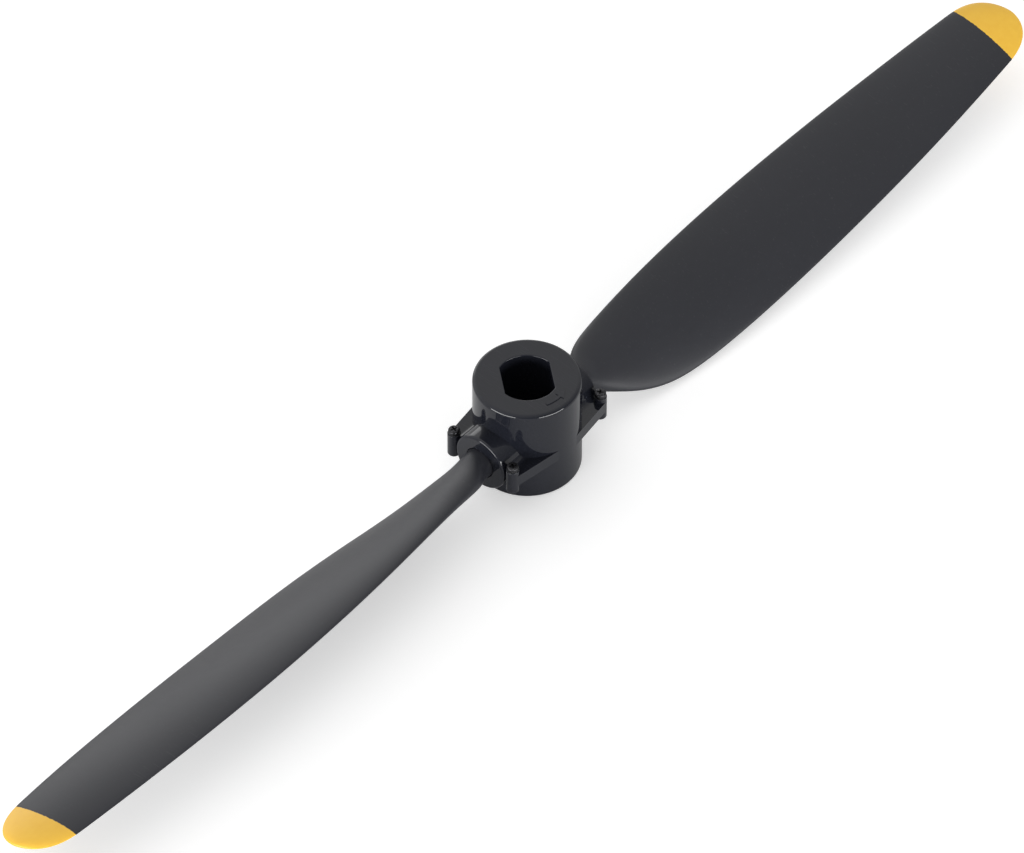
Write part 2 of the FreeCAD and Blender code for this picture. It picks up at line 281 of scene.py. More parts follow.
# colours: how much lighter a pattern's peaks are, and how much of the wear colour shows in them
HUB_LIGHTENING = 1.5
BLADE_LIGHTENING = 1.45
HUB_SCUFF_SHOWS = 0.15
BLADE_SCUFF_SHOWS = 0.12
SCREW_RUBBING_SHOWS = 0.5
SCREW_RUBBING_LEVELS = (0.56, 0.7)
BLADE_FLOW_SHARE, BLADE_MOTTLE_SHARE = 0.7, 0.3
PAINT_DEEPENING = (0.94, 0.86, 0.7)
PAINT_EDGE_SOFTNESS = 0.05 * MM
PAINT_FILLS_GRAIN = 0.8
FLOOR_SHADE = 0.985

# roughness: a base share of the setting, the shares that patterns add, and what a scuff adds
HUB_ROUGH_BASE, HUB_ROUGH_MOTTLE, HUB_ROUGH_SMEAR = 0.7, 0.3, 0.3
BLADE_ROUGH_BASE, BLADE_ROUGH_FLOW, BLADE_ROUGH_MOTTLE = 0.86, 0.16, 0.12
PAINT_ROUGH_BASE, PAINT_ROUGH_MOTTLE = 0.3, 0.12
SCREW_ROUGH_BASE, SCREW_ROUGH_PATCHES = 0.75, 0.5
SCUFF_ROUGHNESS = 0.05
SCREW_METALLIC = 0.85
FLOOR_ROUGHNESS = 0.9


def new_material(name):
    """A material with only its Principled shader and output, and the tree's Object coordinates."""
    material = bpy.data.materials.new(name)
    material.use_nodes = True
    tree = material.node_tree
    tree.nodes.clear()
    shader = tree.nodes.new("ShaderNodeBsdfPrincipled")
    leave = tree.nodes.new("ShaderNodeOutputMaterial")
    tree.links.new(shader.outputs[0], leave.inputs[0])
    place = tree.nodes.new("ShaderNodeTexCoord").outputs["Object"]
    return material, tree, shader, place


def noise(tree, place, size, detail, stretch=(1.0, 1.0, 1.0)):
    """A noise pattern about 0.5 whose blobs are about one size across, in metres."""
    scaled = add_node(tree, "ShaderNodeMapping", Vector=place, Scale=Vector(stretch) / size)
    pattern = add_node(tree, "ShaderNodeTexNoise", Vector=scaled.outputs[0], Scale=1.0, Detail=detail)
    return Quantity(tree, pattern.outputs["Fac"])


def blend_colours(tree, share, low, high):
    mix = add_node(tree, "ShaderNodeMix", {"data_type": "RGBA"})
    feed(tree, mix.inputs[0], share)
    for slot, colour in ((mix.inputs[MIX_FIRST], low), (mix.inputs[MIX_SECOND], high)):
        if isinstance(colour, bpy.types.NodeSocket):
            tree.links.new(colour, slot)
        else:
            slot.default_value = (*colour, 1.0)
    return mix.outputs[MIX_RESULT]


def bump(tree, height, distance, under=None):
    node = add_node(tree, "ShaderNodeBump", Height=height, Distance=distance, Strength=1.0)
    if under is not None:
        tree.links.new(under, node.inputs["Normal"])
    return node.outputs[0]


def scratches(tree, place, spacing, turn, level):
    """Thin broken lines: 1 on a scratch and 0 off it.  They show where the noise is above the level."""
    mapped = add_node(tree, "ShaderNodeMapping", Vector=place, Rotation=turn,
                      Scale=(1.0 / spacing, SCRATCH_NARROWNESS / spacing, 1.0 / spacing))
    lines = add_node(tree, "ShaderNodeTexNoise", Vector=mapped.outputs[0], Scale=1.0, Detail=1.0)
    return smooth_step(level, level + SCRATCH_SOFTNESS, Quantity(tree, lines.outputs["Fac"]))


def hub_material(look):
    """Glossy black moulding with faint waviness and fine scuffs."""
    material, tree, shader, place = new_material("hub_gloss_plastic")
    mottle = noise(tree, place, *HUB_MOTTLE)
    smear = noise(tree, place, *HUB_SMEAR)
    marks = scratches(tree, place, *HUB_MARKS)
    cross_marks = scratches(tree, place, *HUB_CROSS_MARKS)
    scuffed = most(marks + cross_marks, 1.0)
    lighter = [channel * HUB_LIGHTENING for channel in look.colour]
    colour = blend_colours(tree, mottle.socket, look.colour, lighter)
    worn = blend_colours(tree, (scuffed * HUB_SCUFF_SHOWS).socket, colour, look.wear_colour)
    feed(tree, shader.inputs["Base Color"], worn)
    uneven = (mottle * HUB_ROUGH_MOTTLE + smear * HUB_ROUGH_SMEAR) * look.roughness
    roughness = look.roughness * HUB_ROUGH_BASE + uneven
    feed(tree, shader.inputs["Roughness"], most(roughness + scuffed * SCUFF_ROUGHNESS, 1.0))
    shader.inputs["IOR"].default_value = PLASTIC_IOR
    waves = bump(tree, mottle, look.waviness)
    grain = bump(tree, noise(tree, place, *HUB_GRAIN), HUB_GRAIN_HEIGHT, waves)
    feed(tree, shader.inputs["Normal"], bump(tree, 1.0 - scuffed, HUB_SCUFF_DEPTH, grain))
    return material


def blade_material(look):
    """Satin black moulding with a spark-eroded grain, and painted tips."""
    material, tree, shader, place = new_material("blade_satin_plastic")
    split = add_node(tree, "ShaderNodeSeparateXYZ", Vector=place)
    along = maths(tree, "ABSOLUTE", Quantity(tree, split.outputs[0]))
    ragged = noise(tree, place, *PAINT_EDGE) - 0.5
    edge = along - look.paint_start + ragged * look.paint_raggedness
    paint = smooth_step(-PAINT_EDGE_SOFTNESS, PAINT_EDGE_SOFTNESS, edge)
    flow = noise(tree, place, *BLADE_FLOW)
    grain = noise(tree, place, *BLADE_GRAIN)
    mottle = noise(tree, place, *BLADE_MOTTLE)
    marks = scratches(tree, place, *BLADE_MARKS)
    lighter = [channel * BLADE_LIGHTENING for channel in look.colour]
    cloud = flow * BLADE_FLOW_SHARE + mottle * BLADE_MOTTLE_SHARE
    plastic = blend_colours(tree, cloud.socket, look.colour, lighter)
    scuffed = blend_colours(tree, (marks * BLADE_SCUFF_SHOWS).socket, plastic, look.wear_colour)
    deeper = [channel * share for channel, share in zip(look.paint_colour, PAINT_DEEPENING)]
    coat = blend_colours(tree, mottle.socket, deeper, look.paint_colour)
    feed(tree, shader.inputs["Base Color"], blend_colours(tree, paint.socket, scuffed, coat))
    uneven = (flow * BLADE_ROUGH_FLOW + mottle * BLADE_ROUGH_MOTTLE) * look.roughness
    satin = look.roughness * BLADE_ROUGH_BASE + uneven + marks * SCUFF_ROUGHNESS
    painted = PAINT_ROUGH_BASE + mottle * PAINT_ROUGH_MOTTLE
    feed(tree, shader.inputs["Roughness"], satin * (1.0 - paint) + paint * painted)
    shader.inputs["IOR"].default_value = PLASTIC_IOR
    texture = bump(tree, grain * (1.0 - paint * PAINT_FILLS_GRAIN), BLADE_GRAIN_HEIGHT)
    ripple = bump(tree, flow, BLADE_RIPPLE_HEIGHT, texture)
    feed(tree, shader.inputs["Normal"], bump(tree, paint, PAINT_THICKNESS, ripple))
    return material


def screw_material(look):
    """Blackened steel with small patches rubbed bright."""
    material, tree, shader, place = new_material("screw_black_steel")
    patches = noise(tree, place, *SCREW_PATCHES)
    rubbed = smooth_step(*SCREW_RUBBING_LEVELS, noise(tree, place, *SCREW_RUBBING))
    steel = blend_colours(tree, (rubbed * SCREW_RUBBING_SHOWS).socket, look.colour, look.wear_colour)
    feed(tree, shader.inputs["Base Color"], steel)
    shader.inputs["Metallic"].default_value = SCREW_METALLIC
    uneven = SCREW_ROUGH_BASE + patches * SCREW_ROUGH_PATCHES
    feed(tree, shader.inputs["Roughness"], look.roughness * uneven)
    turning = noise(tree, place, *SCREW_TURNING)
    feed(tree, shader.inputs["Normal"], bump(tree, turning, SCREW_TURNING_HEIGHT))
    return material


def floor_material(look):
    """A matt floor that glows a little to the camera alone, like a sweep lit from behind."""
    material, tree, shader, place = new_material("pale_floor")
    mottle = noise(tree, place, *FLOOR_MOTTLE)
    shade = [channel * FLOOR_SHADE for channel in look.floor_colour]
    feed(tree, shader.inputs["Base Color"], blend_colours(tree, mottle.socket, shade, look.floor_colour))
    shader.inputs["Roughness"].default_value = FLOOR_ROUGHNESS
    shader.inputs["Specular IOR Level"].default_value = 0.0
    seen = tree.nodes.new("ShaderNodeLightPath").outputs["Is Camera Ray"]
    shader.inputs["Emission Color"].default_value = (1.0, 1.0, 1.0, 1.0)
    feed(tree, shader.inputs["Emission Strength"], Quantity(tree, seen) * look.floor_glow)
    return material


# ---------------------------------------------------------------- settings
def length(label, text, default):
    return FloatProperty(name=label, description=text, default=default, unit="LENGTH", precision=5)


def share(label, text, default, top=1.0):
    return FloatProperty(name=label, description=text, default=default, min=0.0, max=top)


def count(label, text, default, fewest):
    return IntProperty(name=label, description=text, default=default, min=fewest)


def angle(label, text, degrees):
    return FloatProperty(name=label, description=text, default=math.radians(degrees), subtype="ANGLE")


def colour(label, text, default):
    return FloatVectorProperty(name=label, description=text, default=default, subtype="COLOR", size=3,
                               min=0.0, max=1.0)


class HubLook(bpy.types.PropertyGroup):
    colour: colour("Plastic", "Colour of the hub mouldings", (0.0082, 0.0090, 0.0128))
    wear_colour: colour("Scuffs", "Colour of fine scuffs", (0.04, 0.04, 0.045))
    roughness: share("Roughness", "Roughness of the glossy skin", 0.06)
    waviness: length("Waviness", "Height of the moulded skin's gentle waves", 0.006 * MM)


class BladeLook(bpy.types.PropertyGroup):
    rows: count("Rows", "Sections along a blade", 190, 40)
    tip_rows: count("Tip rows", "Sections in the rounded tip", 26, 6)
    around: count("Around", "Faces round a section", 112, 24)
    camber: share("Camber", "Camber as a share of the chord", 0.035)
    bias: share("Section bias", "How far forward a section is thickest", 0.3)
    round_until: length("Round until", "Radius where the shank stops being round", 14.0 * MM)
    section_from: length("Section from", "Radius where the blade section is complete", 24.0 * MM)
    skin_start: length("Skin start", "Radius where the skin starts inside the shank", 12.5 * MM)
    tip_start: length("Tip start", "Radius where the rounded tip begins", 129.5 * MM)
    tip_bluntness: share("Tip bluntness", "Power of the tip's outline, where 2 is an ellipse", 2.8, 6.0)
    tip_lead_share: share("Tip lead share", "Share of the tip's narrowing on its leading side", 0.57)
    colour: colour("Plastic", "Colour of the blade mouldings", (0.0155, 0.0162, 0.0205))
    wear_colour: colour("Scuffs", "Colour of fine scuffs", (0.10, 0.10, 0.105))
    roughness: share("Roughness", "Roughness of the satin skin", 0.42)
    paint_colour: colour("Tip paint", "Colour of the painted tips", (0.90, 0.55, 0.055))
    paint_start: length("Paint start", "Radius where the tip paint starts", 131.4 * MM)
    paint_raggedness: length("Paint raggedness", "How far the paint's edge wanders", 0.35 * MM)


class RootShape(bpy.types.PropertyGroup):
    inner_x: length("Spigot start", "Inner end of the blade's root", 7.3 * MM)
    shank_end: length("Shank end", "Outer end of the round shank", 13.5 * MM)
    shank_radius: length("Shank radius", "Radius of the round shank", 3.03 * MM)
    collar_start: length("Collar start", "Inner face of the retaining collar", 8.1 * MM)
    collar_end: length("Collar end", "Outer face of the retaining collar", 10.3 * MM)
    collar_radius: length("Collar radius", "Radius of the retaining collar", 4.6 * MM)
    lug_radius: length("Lug radius", "Reach of the stop lug", 5.15 * MM)
    lug_width: length("Lug width", "Width of the stop lug", 1.4 * MM)


class ScrewLook(bpy.types.PropertyGroup):
    head_height: length("Head height", "Height of the head above its seat", 0.95 * MM)
    head_round: length("Head round", "Rounding of the head's rim", 0.4 * MM)
    under_bevel: length("Under bevel", "Small bevel under the head", 0.05 * MM)
    round_steps: count("Round steps", "Faces across the rim's rounding", 8, 2)
    shank_radius: length("Shank radius", "Radius of the plain shank", 0.7 * MM)
    shank_length: length("Shank length", "From the seat to the thread", 2.34 * MM)
    core_radius: length("Core radius", "Radius at the bottom of the thread", 0.58 * MM)
    tip_length: length("Tip length", "Length of the screw's point", 0.4 * MM)
    around: count("Around", "Faces round a screw", 64, 16)
    thread_rows: count("Thread rows", "Rows of faces along the thread", 64, 8)
    thread_pitch: length("Thread pitch", "Advance of the thread per turn", 0.3 * MM)
    thread_depth: length("Thread depth", "Depth of the thread", 0.08 * MM)
    recess_length: length("Recess length", "Length of the driver recess across the head", 1.24 * MM)
    recess_width: length("Recess width", "Width of the driver recess's wings", 0.3 * MM)
    recess_depth: length("Recess depth", "Depth of the driver recess", 0.5 * MM)
    recess_taper: share("Recess taper", "How much the recess narrows towards its floor", 0.25)
    seed: count("Seed", "Chooses the screws' turns", 3, 0)
    colour: colour("Steel", "Colour of the blackened steel", (0.035, 0.035, 0.038))
    wear_colour: colour("Bright steel", "Colour where the blackening has rubbed off", (0.30, 0.30, 0.31))
    roughness: share("Roughness", "Roughness of the blackened steel", 0.34)


class StageLook(bpy.types.PropertyGroup):
    azimuth: angle("Azimuth", "Camera's turn round the propeller", -49.2)
    elevation: angle("Elevation", "Camera's height above the horizon", 46.5)
    distance: length("Distance", "From the camera to the propeller", 2.45)
    focal: FloatProperty(name="Focal length", description="Camera lens, in millimetres", default=469.0)
    across: length("Across", "How far the hub stands right of the middle of the view", 2.79 * MM)
    above: length("Above", "How far the hub stands above the middle of the view", 0.70 * MM)
    surround: share("Surround", "Mean brightness of the surround", 0.52, 5.0)
    surround_slope: share("Surround slope", "How much brighter its bright side is", 0.55, 5.0)
    surround_least: share("Surround least", "Brightness of the surround's dark side", 0.15)
    floor_colour: colour("Floor", "Colour of the floor", (0.80, 0.80, 0.80))
    floor_glow: share("Floor glow", "How much the floor lightens to the camera alone", 0.42)
    floor_size: length("Floor size", "Width of the floor", 12.0)


# ---------------------------------------------------------------- blades
BLADE_INPUTS = {
    "Rows": "NodeSocketInt", "Tip Rows": "NodeSocketInt", "Around": "NodeSocketInt",
    "Skin Start": "NodeSocketFloat", "Tip Start": "NodeSocketFloat", "Tip Radius": "NodeSocketFloat",
    "Tip Bluntness": "NodeSocketFloat", "Tip Lead Share": "NodeSocketFloat",
    "Axis Height": "NodeSocketFloat", "Camber": "NodeSocketFloat", "Section Bias": "NodeSocketFloat",
    "Round Until": "NodeSocketFloat", "Section From": "NodeSocketFloat",
    "Spigot Start": "NodeSocketFloat", "Shank End": "NodeSocketFloat", "Shank Radius": "NodeSocketFloat",
    "Collar Start": "NodeSocketFloat", "Collar End": "NodeSocketFloat", "Collar Radius": "NodeSocketFloat",
    "Lug Radius": "NodeSocketFloat", "Lug Width": "NodeSocketFloat",
    "Side": "NodeSocketFloat", "Material": "NodeSocketMaterial",
}
ROW_CROWDING = 1.5                # power that crowds rows towards the root
EDGE_CROWDING = 0.3               # crowds a section's points towards its leading and trailing edges
BLADE_SHARP_ANGLE = 50.0
SPLINE_STEPS = 24


def station_line():
    """The blade stations as a line of points along X, with their values as attributes."""
    mesh = bpy.data.meshes.new("blade_stations")
    points = [(row[0] * MM, 0.0, 0.0) for row in BLADE_STATIONS]
    mesh.from_pydata(points, [(i, i + 1) for i in range(len(points) - 1)], [])
    for column, name in enumerate(BLADE_COLUMNS, 1):
        scale = math.radians(1.0) if name in ANGLE_COLUMNS else MM
        attribute = mesh.attributes.new(name, "FLOAT", "POINT")
        attribute.data.foreach_set("value", [row[column] * scale for row in BLADE_STATIONS])
    return mesh


def station_curve(tree, stations):
    """A smooth spline with the stations as its poles, so that their values blend without kinks."""
    curve = add_node(tree, "GeometryNodeMeshToCurve", Mesh=stations)
    spline = add_node(tree, "GeometryNodeCurveSplineType", {"spline_type": "NURBS"}, Curve=curve.outputs[0])
    fine = add_node(tree, "GeometryNodeSetSplineResolution", Geometry=spline.outputs[0],
                    Resolution=SPLINE_STEPS)
    return fine.outputs[0]


def sampled(tree, curve, name, distance):
    """The value of a station attribute at a distance along the spline."""
    attribute = add_node(tree, "GeometryNodeInputNamedAttribute", {"data_type": "FLOAT"}, Name=name)
    node = add_node(tree, "GeometryNodeSampleCurve", {"data_type": "FLOAT", "mode": "LENGTH"}, Curves=curve,
                    Value=attribute.outputs[0], Length=distance)
    return Quantity(tree, node.outputs["Value"])


def wrapping_grid(tree, given):
    """A grid to wrap round a shape, with the row number of each point and its share of a turn."""
    grid = add_node(tree, "GeometryNodeMeshGrid", Size_X=1.0, Size_Y=1.0, Vertices_X=given["Rows"],
                    Vertices_Y=given["Around"] + 1.0)
    position = tree.nodes.new("GeometryNodeInputPosition").outputs[0]
    split = add_node(tree, "ShaderNodeSeparateXYZ", Vector=position)
    row = (Quantity(tree, split.outputs[0]) + 0.5) * (given["Rows"] - 1.0)
    turn = Quantity(tree, split.outputs[1]) + 0.5
    return grid.outputs[0], row, turn


def blade_skin(tree, stations, given):
    """A grid wrapped round the blade: its rows are sections, pinched shut at the root and at the tip."""
    grid, row, turn = wrapping_grid(tree, given)
    body_rows = given["Rows"] - 1.0 - given["Tip Rows"]
    body = most(least((row - 1.0) / (body_rows - 1.0), 0.0), 1.0) ** ROW_CROWDING
    tip = least((row - body_rows) / given["Tip Rows"], 0.0) * QUARTER_TURN
    tip_step = least(sine(tip), 0.0) ** (2.0 / given["Tip Bluntness"])
    radius = (given["Skin Start"] + (given["Tip Start"] - given["Skin Start"]) * body
              + (given["Tip Radius"] - given["Tip Start"]) * tip_step)
    narrowing = least(cosine(tip), 0.0) * most(row, 1.0)

    curve = station_curve(tree, stations)
    distance = radius - BLADE_STATIONS[0][0] * MM
    full_chord, full_thickness, pitch, lead_y, lead_z = [
        sampled(tree, curve, name, distance) for name in BLADE_COLUMNS]

    even = math.pi - turn * math.tau
    theta = even - EDGE_CROWDING * sine(even * 2.0)
    along = (1.0 - cosine(theta)) / 2.0
    blend = smooth_step(given["Round Until"], given["Section From"], radius)
    chord = full_chord * narrowing
    thickness = full_thickness * root(narrowing)
    camber = 4.0 * along * (1.0 - along) * given["Camber"] * blend * chord
    height = camber + thickness / 2.0 * sine(theta) * (1.0 + given["Section Bias"] * blend * cosine(theta))
    reach = (full_chord - chord) * given["Tip Lead Share"] + chord * along
    ahead = lead_y - cosine(pitch) * reach - sine(pitch) * height
    above = given["Axis Height"] + lead_z - sine(pitch) * reach + cosine(pitch) * height
    placed = add_node(tree, "GeometryNodeSetPosition", Geometry=grid,
                      Position=combine(tree, radius, ahead, above))
    closed = add_node(tree, "GeometryNodeMergeByDistance", Geometry=placed.outputs[0], Distance=WELD_DISTANCE)
    return closed.outputs[0]


def axis_cylinder(tree, given, radius, start, end):
    """A cylinder on the blade axis between two distances from the shaft."""
    rod = add_node(tree, "GeometryNodeMeshCylinder", Vertices=given["Around"], Radius=radius,
                   Depth=end - start)
    middle = combine(tree, (start + end) / 2.0, 0.0, given["Axis Height"])
    laid = add_node(tree, "GeometryNodeTransform", Geometry=rod.outputs[0], Translation=middle)
    laid.inputs["Rotation"].default_value = (0.0, QUARTER_TURN, 0.0)
    return laid.outputs[0]


def stop_lug(tree, given):
    """The small block under the collar that meets the ends of the stop window."""
    size = combine(tree, given["Collar End"] - given["Collar Start"], given["Lug Width"], given["Lug Radius"])
    block = add_node(tree, "GeometryNodeMeshCube", Size=size)
    middle = combine(tree, (given["Collar Start"] + given["Collar End"]) / 2.0, 0.0,
                     given["Axis Height"] - given["Lug Radius"] / 2.0)
    return add_node(tree, "GeometryNodeTransform", Geometry=block.outputs[0], Translation=middle).outputs[0]


def blade_tree():
    tree, stations, given = new_tree("Propeller Blade", BLADE_INPUTS)
    collar = axis_cylinder(tree, given, given["Collar Radius"], given["Collar Start"], given["Collar End"])
    shank = axis_cylinder(tree, given, given["Shank Radius"], given["Spigot Start"], given["Shank End"])
    union = add_node(tree, "GeometryNodeMeshBoolean", {"operation": "UNION", "solver": "EXACT"})
    for piece in (blade_skin(tree, stations, given), collar, shank, stop_lug(tree, given)):
        tree.links.new(piece, union.inputs["Mesh 2"])
    swung = add_node(tree, "GeometryNodeTransform", Geometry=union.outputs[0],
                     Scale=combine(tree, given["Side"], given["Side"], 1.0))
    close_tree(tree, mark_sharp(tree, swung.outputs[0], BLADE_SHARP_ANGLE), given["Material"])
    return tree


class PROPELLER_OT_blades(bpy.types.Operator):
    """Build both blades, each with its shank, collar and stop lug"""

    bl_idname = "propeller.blades"
    bl_label = "Blades"

    def execute(self, context):
        look = context.scene.propeller_blade
        shape = context.scene.propeller_root
        material = blade_material(look)
        tree = blade_tree()
        for body, side in (("blade_a", 1.0), ("blade_b", -1.0)):
            piece = grow(body + "_skin", tree, station_line(), {
                "Rows": look.rows, "Tip Rows": look.tip_rows, "Around": look.around,
                "Skin Start": look.skin_start, "Tip Start": look.tip_start, "Tip Radius": TIP_RADIUS,
                "Tip Bluntness": look.tip_bluntness, "Tip Lead Share": look.tip_lead_share,
                "Axis Height": AXIS_HEIGHT, "Camber": look.camber, "Section Bias": look.bias,
                "Round Until": look.round_until, "Section From": look.section_from,
                "Spigot Start": shape.inner_x, "Shank End": shape.shank_end,
                "Shank Radius": shape.shank_radius, "Collar Start": shape.collar_start,
                "Collar End": shape.collar_end, "Collar Radius": shape.collar_radius,
                "Lug Radius": shape.lug_radius, "Lug Width": shape.lug_width, "Side": side,
                "Material": material})
            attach(piece, body)
            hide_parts(body)
        return {"FINISHED"}


# ---------------------------------------------------------------- screws
SCREW_INPUTS = {
    "Around": "NodeSocketInt", "Rows": "NodeSocketInt", "Seat Height": "NodeSocketFloat",
    "Boss X": "NodeSocketFloat", "Boss Y": "NodeSocketFloat", "Thread Pitch": "NodeSocketFloat",
    "Thread Depth": "NodeSocketFloat", "Recess Length": "NodeSocketFloat", "Recess Width": "NodeSocketFloat",
    "Recess Depth": "NodeSocketFloat", "Recess Taper": "NodeSocketFloat", "Head Top": "NodeSocketFloat",
    "Seed": "NodeSocketInt", "Material": "NodeSocketMaterial",
}
SCREW_SHARP_ANGLE = 35.0
# keeps the recess's inner corners off the head's edges, where the cut would leave faces with no area
RECESS_TURN = math.radians(2.3)
CROWN_START = 0.5                 # share of the head's radius where the profile has its first ring
POINT_WAIST = (0.5, 0.3)          # the point's last ring: shares of the core radius and of the tip's length
RANDOM_TOP = 3                    # a Random Value node's socket for its highest number
RANDOM_NUMBER = 1                 # and for the number it gives


def arc(centre, radius, start, end, steps):
    """Points on an arc in the (radius, height) plane, between two angles in degrees."""
    points = []
    for k in range(steps + 1):
        angle = math.radians(start + (end - start) * k / steps)
        points.append((centre[0] + radius * math.cos(angle), centre[1] + radius * math.sin(angle)))
    return points


def screw_profile(look, head_radius, full_length):
    """The screw's outline as a line of points (radius, 0, height) from the head's top down to its tip.

    Heights count from the seat under the head.  The attribute "threaded" is 1 where the thread runs.
    """
    crown = arc((head_radius - look.head_round, look.head_height - look.head_round), look.head_round,
                90.0, 0.0, look.round_steps)
    smooth = [(0.0, look.head_height), (head_radius * CROWN_START, look.head_height)] + crown
    smooth += [(head_radius, look.under_bevel), (head_radius - look.under_bevel, 0.0),
               (look.shank_radius, 0.0), (look.shank_radius, -look.shank_length)]
    tip = -full_length
    run = -look.shank_length - look.thread_pitch / 4.0
    steps = look.thread_rows
    low = tip + look.tip_length
    threaded = [(look.core_radius, run + (low - run) * k / steps) for k in range(steps + 1)]
    end = [(look.core_radius * POINT_WAIST[0], tip + look.tip_length * POINT_WAIST[1]), (0.0, tip)]
    points = smooth + threaded + end
    mesh = bpy.data.meshes.new("screw_profile")
    mesh.from_pydata([(radius, 0.0, height) for radius, height in points],
                     [(i, i + 1) for i in range(len(points) - 1)], [])
    flags = [0.0] * len(smooth) + [1.0] * len(threaded) + [0.0] * len(end)
    mesh.attributes.new("threaded", "FLOAT", "POINT").data.foreach_set("value", flags)
    return mesh, len(points)


def profile_value(tree, profile, source, kind, row):
    """A value of the profile's point number row."""
    node = add_node(tree, "GeometryNodeSampleIndex", {"data_type": kind, "domain": "POINT"}, Geometry=profile,
                    Value=source, Index=row)
    return node.outputs["Value"]


def turned_screw(tree, profile, given):
    """A grid wound round the profile, with the thread raised in a helix."""
    grid, exact_row, turn = wrapping_grid(tree, given)
    row = maths(tree, "ROUND", exact_row)
    position = tree.nodes.new("GeometryNodeInputPosition").outputs[0]
    flag = add_node(tree, "GeometryNodeInputNamedAttribute", {"data_type": "FLOAT"}, Name="threaded")
    point = profile_value(tree, profile, position, "FLOAT_VECTOR", row)
    place = add_node(tree, "ShaderNodeSeparateXYZ", Vector=point)
    threaded = Quantity(tree, profile_value(tree, profile, flag.outputs[0], "FLOAT", row))
    height = Quantity(tree, place.outputs[2])
    crest = maths(tree, "PINGPONG", height / given["Thread Pitch"] - turn, 0.5) * 2.0
    radius = Quantity(tree, place.outputs[0]) + crest * threaded * given["Thread Depth"]
    bearing = turn * math.tau
    placed = add_node(tree, "GeometryNodeSetPosition", Geometry=grid,
                      Position=combine(tree, radius * cosine(bearing), radius * sine(bearing), height))
    closed = add_node(tree, "GeometryNodeMergeByDistance", Geometry=placed.outputs[0], Distance=WELD_DISTANCE)
    return closed.outputs[0]


def recess_wing(tree, given, turn):
    """One wing of the cross recess, narrower towards its floor."""
    block = add_node(tree, "GeometryNodeMeshCube", Size=combine(
        tree, given["Recess Length"], given["Recess Width"], given["Recess Depth"] * 2.0))
    position = tree.nodes.new("GeometryNodeInputPosition").outputs[0]
    split = add_node(tree, "ShaderNodeSeparateXYZ", Vector=position)
    x, y, z = [Quantity(tree, slot) for slot in split.outputs]
    width = 1.0 + z / given["Recess Depth"] * given["Recess Taper"]
    tapered = add_node(tree, "GeometryNodeSetPosition", Geometry=block.outputs[0],
                       Position=combine(tree, x * width, y * width, z))
    set_in = add_node(tree, "GeometryNodeTransform", Geometry=tapered.outputs[0],
                      Translation=combine(tree, 0.0, 0.0, given["Head Top"]))
    set_in.inputs["Rotation"].default_value = (0.0, 0.0, turn)
    return set_in.outputs[0]


def screw_tree():
    """Four screws on the bosses, each turned by a random angle."""
    tree, profile, given = new_tree("Hub Screws", SCREW_INPUTS)
    shaft = turned_screw(tree, profile, given)
    cut = add_node(tree, "GeometryNodeMeshBoolean", {"operation": "DIFFERENCE", "solver": "EXACT"})
    tree.links.new(shaft, cut.inputs["Mesh 1"])
    for turn in (RECESS_TURN, RECESS_TURN + QUARTER_TURN):
        tree.links.new(recess_wing(tree, given, turn), cut.inputs["Mesh 2"])
    places = add_node(tree, "GeometryNodeMeshGrid", Size_X=given["Boss X"] * 2.0,
                      Size_Y=given["Boss Y"] * 2.0, Vertices_X=2, Vertices_Y=2)
    lifted = add_node(tree, "GeometryNodeTransform", Geometry=places.outputs[0],
                      Translation=combine(tree, 0.0, 0.0, given["Seat Height"]))
    turns = add_node(tree, "FunctionNodeRandomValue", {"data_type": "FLOAT"})
    turns.inputs[RANDOM_TOP].default_value = math.tau
    feed(tree, turns.inputs["Seed"], given["Seed"])
    spin = add_node(tree, "FunctionNodeEulerToRotation",
                    Euler=combine(tree, 0.0, 0.0, Quantity(tree, turns.outputs[RANDOM_NUMBER])))
    copies = add_node(tree, "GeometryNodeInstanceOnPoints", Points=lifted.outputs[0], Instance=cut.outputs[0],
                      Rotation=spin.outputs[0])
    realized = add_node(tree, "GeometryNodeRealizeInstances", Geometry=copies.outputs[0])
    close_tree(tree, mark_sharp(tree, realized.outputs[0], SCREW_SHARP_ANGLE), given["Material"])
    return tree


class PROPELLER_OT_screws(bpy.types.Operator):
    """Build the four clamp screws as one piece on the hub"""

    bl_idname = "propeller.screws"
    bl_label = "Screws"

    def execute(self, context):
        look = context.scene.propeller_screw
        low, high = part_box(SCREW_NODES[0])
        head_radius = (high.x - low.x) / 2.0
        middle = (low + high) / 2.0
        seat = high.z - look.head_height
        profile, rows = screw_profile(look, head_radius, seat - low.z)
        piece = grow("hub_screws", screw_tree(), profile, {
            "Around": look.around, "Rows": rows, "Seat Height": seat, "Boss X": abs(middle.x),
            "Boss Y": abs(middle.y), "Thread Pitch": look.thread_pitch, "Thread Depth": look.thread_depth,
            "Recess Length": look.recess_length, "Recess Width": look.recess_width,
            "Recess Depth": look.recess_depth, "Recess Taper": look.recess_taper,
            "Head Top": look.head_height, "Seed": look.seed, "Material": screw_material(look)})
        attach(piece, "hub")
        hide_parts(*SCREW_NODES)
        return {"FINISHED"}


# ---------------------------------------------------------------- hub
class PROPELLER_OT_hub(bpy.types.Operator):
    """Give both hub halves their glossy moulded finish"""

    bl_idname = "propeller.hub"
    bl_label = "Hub finish"

    def execute(self, context):
        material = hub_material(context.scene.propeller_hub)
        for name in ("hub_front_half", "hub_rear_half"):
            node = frame["nodes"][name]
            node.material_slots[0].material = material
        return {"FINISHED"}


# ---------------------------------------------------------------- stage
FLOOR_GAP = 0.02 * MM
SENSOR_WIDTH = 36.0               # millimetres, as the lens is
CLIP_RANGE = (0.1, 100.0)
# the surround's bright side: shares to the camera's right, away from it and up
BRIGHT_SIDE = (-0.57, 0.684, 0.456)
